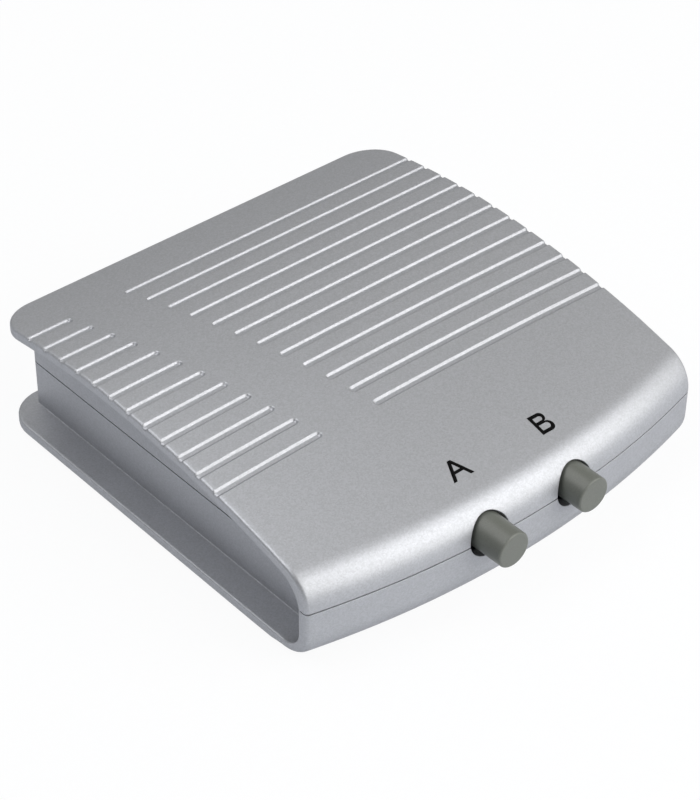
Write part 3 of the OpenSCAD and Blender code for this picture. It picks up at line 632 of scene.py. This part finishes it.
def wall_strip(half, rear_xs, rear_rim):
    """Closed strip of wall: the section's points move out from the outer face by a share of the thickness, and
    up or down from the seam, which dips to rear_rim along the rear."""
    outer = wall_plan(0, WALL_CORNER_R, rear_xs)
    inner = wall_plan(SIDE_WALL, INNER_CORNER_R, rear_xs)
    side_count = (len(outer) - len(rear_xs)) // 2
    rim = np.concatenate([np.full(side_count, SEAM), rear_rim, np.full(side_count, SEAM)])
    foot = inner_face(half, outer[:, 0], outer[:, 1])
    turn = np.linspace(0, np.pi / 2, FOOT_STEPS + 1)
    out_mm = np.concatenate([[-STEP_IN, -STEP_IN, 0], FOOT_R * (1 - np.cos(turn)),
                             [FOOT_R, -SIDE_WALL, -SIDE_WALL]])
    share = -out_mm / SIDE_WALL
    from_rim = np.array([0, HALF_GAP, HALF_GAP] + [np.nan] * (len(turn) + 2) + [0])
    from_foot = np.concatenate([[np.nan] * 3, FOOT_R * (1 - np.sin(turn)), [-SUNK, -SUNK, np.nan]])
    height = np.where(np.isnan(from_rim), foot[:, None] - half.side * np.nan_to_num(from_foot),
                      rim[:, None] + half.side * np.nan_to_num(from_rim))
    plan = outer[:, None, :] + share[:, None] * (inner - outer)[:, None, :]
    points = np.concatenate([plan, height[..., None]], axis=-1)
    count, ring = height.shape
    faces = grid_faces(count, ring + 1)
    row, col = faces // (ring + 1), faces % (ring + 1)
    faces = (row * ring + col % ring)[:, ::half.side]
    corners = points.reshape(-1, 3)[faces]
    area = np.linalg.norm(np.cross(corners[:, 2] - corners[:, 0], corners[:, 3] - corners[:, 1]), axis=1)
    first = np.arange(ring)[None, ::-half.side]
    last = np.arange(ring)[None, ::half.side] + (count - 1) * ring
    return points, [faces[area > 1e-6], first, last]


print("walls stand", SIDE_INSET, "mm in from the sides and", REAR_INSET, "mm in from the back")

# %% [markdown]
# ## Both rings of walls
# The upper ring is plain. The rim of the lower ring follows the outline of each socket: down its sides, slanting
# in, and level under its foot.

# %% Walls of both halves
BOARD_Z = SEAM - 5.6  # the sockets stand on the board at this height
PORT_GAP = 0.2
# half width of a socket's opening at the foot and at the sides, and the height of the slant between them
PORT_FOOT, PORT_SIDE, PORT_SLANT = 5.49, 7.7, 2.12
REAR_CELLS, END_POINTS = 40, 5
straight_rear = np.linspace(-WALL_X + WALL_CORNER_R, WALL_X - WALL_CORNER_R, REAR_CELLS + 1)[1:-1]
top_walls = wall_strip(top, straight_rear, SEAM + 0 * straight_rear)

port_xs, port_rim = [], []
for port in ("input_port_a", "input_port_b", "output_port"):
    low, high = box_mm(port)
    mid = (low[0] + high[0]) / 2
    port_xs.append(mid + np.array([-PORT_SIDE, -PORT_SIDE, -PORT_FOOT, PORT_FOOT, PORT_SIDE, PORT_SIDE]))
    port_rim.append([SEAM, BOARD_Z + PORT_SLANT, BOARD_Z - PORT_GAP, BOARD_Z - PORT_GAP,
                     BOARD_Z + PORT_SLANT, SEAM])
ends = np.linspace(WALL_X - WALL_CORNER_R - 1, port_xs[-1][-1] + 1, END_POINTS)
rear_xs = np.concatenate([-ends, *port_xs, ends[::-1]])
rear_rim = np.concatenate([SEAM + 0 * ends, *port_rim, SEAM + 0 * ends])
bottom_walls = wall_strip(bottom, rear_xs, rear_rim)

make_piece("top_case", [top_sheet, top_walls], silver_paint, "case", "silver_paint", "top_shell")
make_piece("bottom_case", [bottom_sheet, bottom_walls], silver_paint, "case", "silver_paint", "bottom_shell")

# %% [markdown]
# ## The button caps
# Each cap is a plain round stud of moulded ABS in a warm grey. A fine spark-eroded mould leaves it satin, so a soft
# streak of light runs along its barrel, and a small rounding shows at its front edge. It is a profile turned round
# its axis. The cap of the chosen channel stands a little further in.

# %% Button finish and caps
BUTTON_GRIT_MM = 0.22
button_plastic, shader, place = new_finish("moulded_grey_abs", IOR=1.53)
grit = add_node(button_plastic, "ShaderNodeTexNoise", {"Scale": per_metre(BUTTON_GRIT_MM), "Detail": 2.0},
                {"Vector": place})
lead_finish(button_plastic, shader, [grit.outputs["Fac"]] * 3, ("575a55", "626560"), (0.34, 0.46), 0.015)

CAP_EDGE = 0.5
CAP_FLAT = 0.2  # flat ring just inside the rounded edge
CAP_DRAFT = 0.06
CAP_CHAMFER = 0.3
CAP_SIDES = 96
CAP_STEPS = 6


def turned_cap(cap):
    """Profile of (radius, y), from the middle of the front round the edge to the middle of the back, turned
    round the cap's axis."""
    turn = np.linspace(0, np.pi / 2, CAP_STEPS + 1)
    front_r, length = cap.r - CAP_DRAFT, cap.back - cap.front
    radius = np.concatenate([[0, front_r / 2, front_r - CAP_EDGE - CAP_FLAT],
                             front_r - CAP_EDGE * (1 - np.sin(turn)),
                             [front_r, cap.r, cap.r - CAP_CHAMFER, 0]])
    y = np.concatenate([[0, 0, 0], CAP_EDGE * (1 - np.cos(turn)),
                        [CAP_EDGE + CAP_CHAMFER, length - CAP_CHAMFER, length, length]])
    around = np.linspace(0, 2 * np.pi, CAP_SIDES, endpoint=False)
    ring_r, ring_y = radius[1:-1, None], y[1:-1, None]
    rings = np.stack(np.broadcast_arrays(cap.x + ring_r * np.cos(around), cap.front + ring_y,
                                         cap.z + ring_r * np.sin(around)), axis=-1)
    poles = np.array([[cap.x, cap.front, cap.z], [cap.x, cap.back, cap.z]])
    rows = len(ring_r)
    faces = grid_faces(rows, CAP_SIDES + 1)
    faces = (faces // (CAP_SIDES + 1)) * CAP_SIDES + (faces % (CAP_SIDES + 1)) % CAP_SIDES
    here = np.arange(CAP_SIDES)
    ahead = np.roll(here, -1)
    front_fan = np.stack([0 * here + rows * CAP_SIDES, here, ahead], axis=1)
    back_fan = np.stack([0 * here + rows * CAP_SIDES + 1, (rows - 1) * CAP_SIDES + ahead,
                         (rows - 1) * CAP_SIDES + here], axis=1)
    return np.concatenate([rings.reshape(-1, 3), poles]), [faces[:, ::-1], front_fan, back_fan]


for letter, cap in caps.items():
    make_piece("cap_" + letter, [turned_cap(cap)], button_plastic, "selector_" + letter, "button_grey",
               "button_" + letter)

# %% [markdown]
# ## The channel letters
# A plain A and B are printed in black on the sloping front of the top, above the buttons. A letter is a small
# grid: rows are heights, and columns are the edges of its strokes. The flat shape is laid on the crown, just
# above the paint, and thickened to a film of ink. Pad ink dries matt, so the letters stay black in any light.

# %% Ink and letters
ink, shader, place = new_finish("black_pad_ink", IOR=1.5, Specular_IOR_Level=0.05)
INK_GRAIN_MM = 0.35
grain = add_node(ink, "ShaderNodeTexNoise", {"Scale": per_metre(INK_GRAIN_MM)}, {"Vector": place})
lead_finish(ink, shader, [grain.outputs["Fac"]] * 3, ("050506", "0b0b0c"), (0.5, 0.65), 0.003)

STROKE = 0.84
INK_MM = 0.03  # thickness of the film
INK_LIFT = 0.005  # its height over the paint
BOWL_STEPS = 24


def letter_a(width, height):
    """Strokes of an A: four edges that lean to the apex; the cell between them is filled at the bar and top."""
    bar, join = 0.315 * height, 0.81 * height
    rows = np.array([0, bar, bar + 0.82 * STROKE, join, height])
    apex = 0.52 * STROKE
    slant = STROKE * 1.08
    outer = width / 2 + (apex - width / 2) * rows / height
    inner = np.maximum(outer - slant, 0)
    inner[-2:] = 0
    xs = np.stack([-outer, -inner, inner, outer], axis=1)
    count, edges = xs.shape
    faces = grid_faces(count, edges)
    row, col = np.divmod(np.arange(len(faces)), edges - 1)
    keep = (col != 1) | (row == 1)
    return xs, np.repeat(rows[:, None], edges, axis=1), faces[keep]


def letter_b(width, height):
    """Strokes of a B: a stem, and two bowls that run along half rounds between an outer and an inner line."""
    turn = np.linspace(-np.pi / 2, np.pi / 2, BOWL_STEPS + 1)
    middle = 0.53 * height
    xs, ys = [[-width / 2, -width / 2 + STROKE]] * 2, [[0, 0], [height, height]]
    xs, ys, faces = [np.array(xs)], [np.array(ys)], [np.array([[0, 1, 3, 2]])]
    start = 4
    for low, high, reach in ((0, middle, width), (middle, height, 0.9 * width)):
        low_in = low + (STROKE if low == 0 else STROKE / 2)
        high_in = high - (STROKE if high == height else STROKE / 2)
        lines_x, lines_y = [], []
        for bottom_y, top_y, right in ((low, high, reach), (low_in, high_in, reach - STROKE)):
            r = (top_y - bottom_y) / 2
            arc_x = -width / 2 + right - r + r * np.cos(turn)
            lines_x.append(np.concatenate([[-width / 2 + STROKE], arc_x, [-width / 2 + STROKE]]))
            lines_y.append(np.concatenate([[bottom_y], (bottom_y + top_y) / 2 + r * np.sin(turn), [top_y]]))
        xs.append(np.array(lines_x))
        ys.append(np.array(lines_y))
        faces.append(grid_faces(2, len(lines_x[0]))[:, ::-1] + start)
        start += 2 * len(lines_x[0])
    flat = [np.concatenate([part.ravel() for part in parts]) for parts in (xs, ys)]
    return flat[0], flat[1], np.concatenate(faces)


# name, shape, place of its middle, width and height
letters = (("letter_a", letter_a, -10.5, 12.2, 5.6, 4.95),
           ("letter_b", letter_b, 13.6, 11.7, 4.25, 5.1))
for name, shape, mid_x, mid_y, width, height in letters:
    x, y, faces = shape(width, height)
    x, y = x + mid_x, y + mid_y - height / 2
    film = np.stack([x, y, crown(x, y, 0) + INK_LIFT], axis=-1)
    letter = make_piece(name, [(film, [faces])], ink, "case", "dark_plastic")
    solid = letter.modifiers.new("ink film", "SOLIDIFY")
    solid.thickness = INK_MM / MM
    solid.offset = 1

# %% [markdown]
# ## Metal, rubber and the parts inside
# The sockets, screws, feet, board and switches keep their CAD meshes. Each gets a finish for what it is made of.
# All of these start from the same three habits: two tones of colour led by a noise at a real grain size, a
# roughness that varies with it, and a very low relief.

# %% Finishes for the CAD pieces
# name: (dark, light, grain mm, metallic, low and high roughness, relief mm)
small_finishes = {
    # bright tin over steel sheet, rolled smooth: a soft even mirror
    "tinned_steel_sheet": ("b4b6b4", "cfd0cd", 0.9, 1.0, 0.2, 0.34, 0.003),
    # glass-filled black polyester insulators: dull and slightly mottled
    "black_moulded_polyester": ("161617", "26262a", 0.3, 0.0, 0.45, 0.62, 0.01),
    # thin hard gold over nickel: yellow and quite sharp
    "gilt_contact": ("b98f3c", "d9b25c", 0.4, 1.0, 0.22, 0.36, 0.002),
    # zinc-plated wire screws: grey-blue with rubbed spots
    "zinc_plated_screw": ("8d9094", "b9bcc0", 0.7, 1.0, 0.28, 0.46, 0.006),
    # black nitrile rubber feet: soft, dusty black
    "black_rubber": ("19191a", "2c2c2d", 0.5, 0.0, 0.7, 0.9, 0.02),
    # green solder mask over copper on glass board: glossy with darker fields
    "solder_masked_board": ("1c4a2b", "2c6a3c", 2.4, 0.0, 0.28, 0.42, 0.01),
    # ivory acetal plungers and rocker: waxy off-white
    "ivory_acetal": ("d6d0bd", "e6e1d1", 0.8, 0.0, 0.4, 0.52, 0.006),
    # dark phenolic switch bodies: brown-black with a faint fleck
    "dark_phenolic": ("23211f", "35312d", 0.5, 0.0, 0.4, 0.58, 0.01),
    # rolled brass pins: warm yellow, slightly dulled
    "rolled_brass": ("a5833f", "c7a558", 0.6, 1.0, 0.26, 0.42, 0.004),
    # cold-rolled steel frame: mid grey with a satin grain
    "cold_rolled_steel": ("85888b", "a6a9ac", 0.8, 1.0, 0.3, 0.46, 0.006),
    # blued spring steel leaf: dark and smooth
    "spring_steel": ("5c6067", "7a7f87", 0.5, 1.0, 0.24, 0.36, 0.003),
}
made = {}
for name, (dark, light, grain_mm, metallic, low, high, height) in small_finishes.items():
    finish, shader, place = new_finish(name, Metallic=metallic)
    grain = add_node(finish, "ShaderNodeTexNoise", {"Scale": per_metre(grain_mm), "Detail": 4.0},
                     {"Vector": place})
    lead_finish(finish, shader, [grain.outputs["Fac"]] * 3, (dark, light), (low, high), height)
    made[name] = finish

pieces_of = {
    "tinned_steel_sheet": ("input_port_a", "input_port_b", "output_port"),
    "black_moulded_polyester": ("input_tongue_a", "input_tongue_b", "output_tongue"),
    "gilt_contact": ("input_contacts_a", "input_contacts_b", "output_contacts"),
    "zinc_plated_screw": ("case_screws", "board_screws"),
    "black_rubber": ("rubber_feet",),
    "solder_masked_board": ("circuit_board",),
    "ivory_acetal": ("plunger_a", "plunger_b", "rocker"),
    "dark_phenolic": ("switch_body_a", "switch_body_b"),
    "rolled_brass": ("contact_clips_a", "contact_clips_b", "switch_pins_a", "switch_pins_b"),
    "cold_rolled_steel": ("switch_frame", "rocker_pin"),
    "spring_steel": ("detent_spring",),
}
for name, nodes in pieces_of.items():
    for node in nodes:
        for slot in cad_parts[node].material_slots:
            slot.material = made[name]
for node in ("top_shell", "bottom_shell", "button_a", "button_b"):
    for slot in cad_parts[node].material_slots:
        slot.material = button_plastic if "button" in node else silver_paint
print("finishes:", len(made) + 3)

# %% [markdown]
# ## Floor and surroundings
# The box stands on white paper under a studio sky. The paper glows for the camera, so that the picture keeps a
# white ground, and a little less for reflections, so that the silver does not turn chalky. For all other light it
# is plain paper, and keeps the shadow of the box. The sky is brightest on the right, behind and above, and black
# at the far side: that is what darkens the recess on the left and gives the silver its depth.

# %% Floor and world
FLOOR_HALF = 3.0  # metres
SEEN_WHITE, MIRRORED_WHITE = 0.93, 0.75
FIBRE_MM = 2.0
floor_mesh = bpy.data.meshes.new("floor")
floor_mesh.from_pydata([(-FLOOR_HALF, -FLOOR_HALF, 0), (FLOOR_HALF, -FLOOR_HALF, 0),
                        (FLOOR_HALF, FLOOR_HALF, 0), (-FLOOR_HALF, FLOOR_HALF, 0)], [], [(0, 1, 2, 3)])
floor = bpy.data.objects.new("floor", floor_mesh)
bpy.context.scene.collection.objects.link(floor)
paper, shader, place = new_finish("white_paper")
fibre = add_node(paper, "ShaderNodeTexNoise", {"Scale": per_metre(FIBRE_MM)}, {"Vector": place})
lead_finish(paper, shader, [fibre.outputs["Fac"]] * 3, ("dadfe8", "e0e5ed"), (0.88, 0.92), 0.02)
floor_mesh.materials.append(paper)


def seen_or_mirrored(finish, seen, mirrored):
    """A factor that is one share for camera and transmitted rays, another for glossy rays, and 0 for the rest."""
    path = add_node(finish, "ShaderNodeLightPath").outputs
    direct = add_node(finish, "ShaderNodeMath", links={0: path["Is Camera Ray"], 1: path["Is Transmission Ray"]},
                      operation="MAXIMUM")
    glossy = add_node(finish, "ShaderNodeMath", {1: mirrored}, {0: path["Is Glossy Ray"]}, operation="MULTIPLY")
    return add_node(finish, "ShaderNodeMath", {1: seen}, {0: direct.outputs[0], 2: glossy.outputs[0]},
                    operation="MULTIPLY_ADD").outputs[0]


glow = add_node(paper, "ShaderNodeEmission", {"Color": (1, 1, 1, 1), "Strength": 1.0})
both = add_node(paper, "ShaderNodeMixShader", links={0: seen_or_mirrored(paper, SEEN_WHITE, MIRRORED_WHITE),
                                                     1: shader.outputs[0], 2: glow.outputs[0]})
output = paper.node_tree.nodes["Material Output"]
paper.node_tree.links.new(both.outputs[0], output.inputs["Surface"])

world = bpy.data.worlds.new("studio")
bpy.context.scene.world = world
world.use_nodes = True
BRIGHT_SIDE = (0.85, 0.25, 0.46)
SKY_LEVEL, SKY_TINT = 0.43, (1.0, 0.98, 0.92, 1.0)
direction = add_node(world, "ShaderNodeTexCoord").outputs["Generated"]
facing = add_node(world, "ShaderNodeVectorMath", {1: BRIGHT_SIDE}, {0: direction}, operation="DOT_PRODUCT")
level = add_node(world, "ShaderNodeMapRange", {"From Min": -1.0, "To Min": 0.0, "To Max": SKY_LEVEL},
                 {"Value": facing.outputs["Value"]})
backdrop = world.node_tree.nodes["Background"]
backdrop.inputs["Color"].default_value = SKY_TINT
world.node_tree.links.new(level.outputs["Result"], backdrop.inputs["Strength"])

print("ground glows", SEEN_WHITE, "seen and", MIRRORED_WHITE, "mirrored")

# %% [markdown]
# ## Four soft boxes
# A metallic paint mostly shows what stands round it, so each lamp is placed for the highlight that it makes.
# The wide front box runs along the bowed nose as one long white line. The box above it softens that line's upper
# edge. The overhead box lifts the top and the grooves, and the one on the upper left draws the fine line along the
# left edge of the plate.

# %% Lamps
TARGET = Vector((0, 0, 0.02))
WHITE, WARM = (1.0, 1.0, 1.0), (1.0, 0.985, 0.945)


def soft_lamp(name, direction, distance, width, height, watts, tint=WHITE):
    """A soft box at a distance from the middle of the box, turned to face it."""
    data = bpy.data.lights.new(name, "AREA")
    data.shape = "RECTANGLE"
    data.size, data.size_y = width, height
    data.energy = watts
    data.color = tint
    lamp = bpy.data.objects.new(name, data)
    away = Vector(direction).normalized()
    lamp.location = TARGET + away * distance
    lamp.rotation_euler = away.to_track_quat("Z", "Y").to_euler()
    bpy.context.scene.collection.objects.link(lamp)


# name, direction, distance, width and height in metres, watts
soft_lamp("front_soft_box", (0.36, -0.82, 0.45), 0.9, 1.15, 0.8, 9.1, WARM)
soft_lamp("overhead_soft_box", (-0.1, 0.4, 1.0), 1.2, 0.8, 0.8, 4.5)
soft_lamp("upper_left_soft_box", (-0.6, 0.2, 0.76), 1.2, 0.7, 0.5, 4.4)
soft_lamp("upper_front_soft_box", (0.42, -0.5, 0.76), 1.2, 0.8, 0.5, 2.1)

# %% [markdown]
# ## The camera
# It repeats the view of the photograph: a long lens, high up and from the left front.

# %% Camera
LENS_MM, SENSOR_MM = 109.89, 36.0
CAMERA_MM = np.array([-279.01, -259.2, 345.51])
CAMERA_DEGREES = [51.4639, -0.4641, -41.0447]
SEES_TO = 20.0  # metres
camera_data = bpy.data.cameras.new("camera")
camera_data.lens, camera_data.sensor_width, camera_data.clip_end = LENS_MM, SENSOR_MM, SEES_TO
camera = bpy.data.objects.new("camera", camera_data)
camera.location = ((CAMERA_MM + ORIGIN) / MM).tolist()
camera.rotation_euler = Euler(np.radians(CAMERA_DEGREES).tolist(), "XYZ")
bpy.context.scene.collection.objects.link(camera)
bpy.context.scene.camera = camera
bpy.context.scene.view_settings.view_transform = "Standard"
print("camera at", [round(v, 3) for v in camera.location])
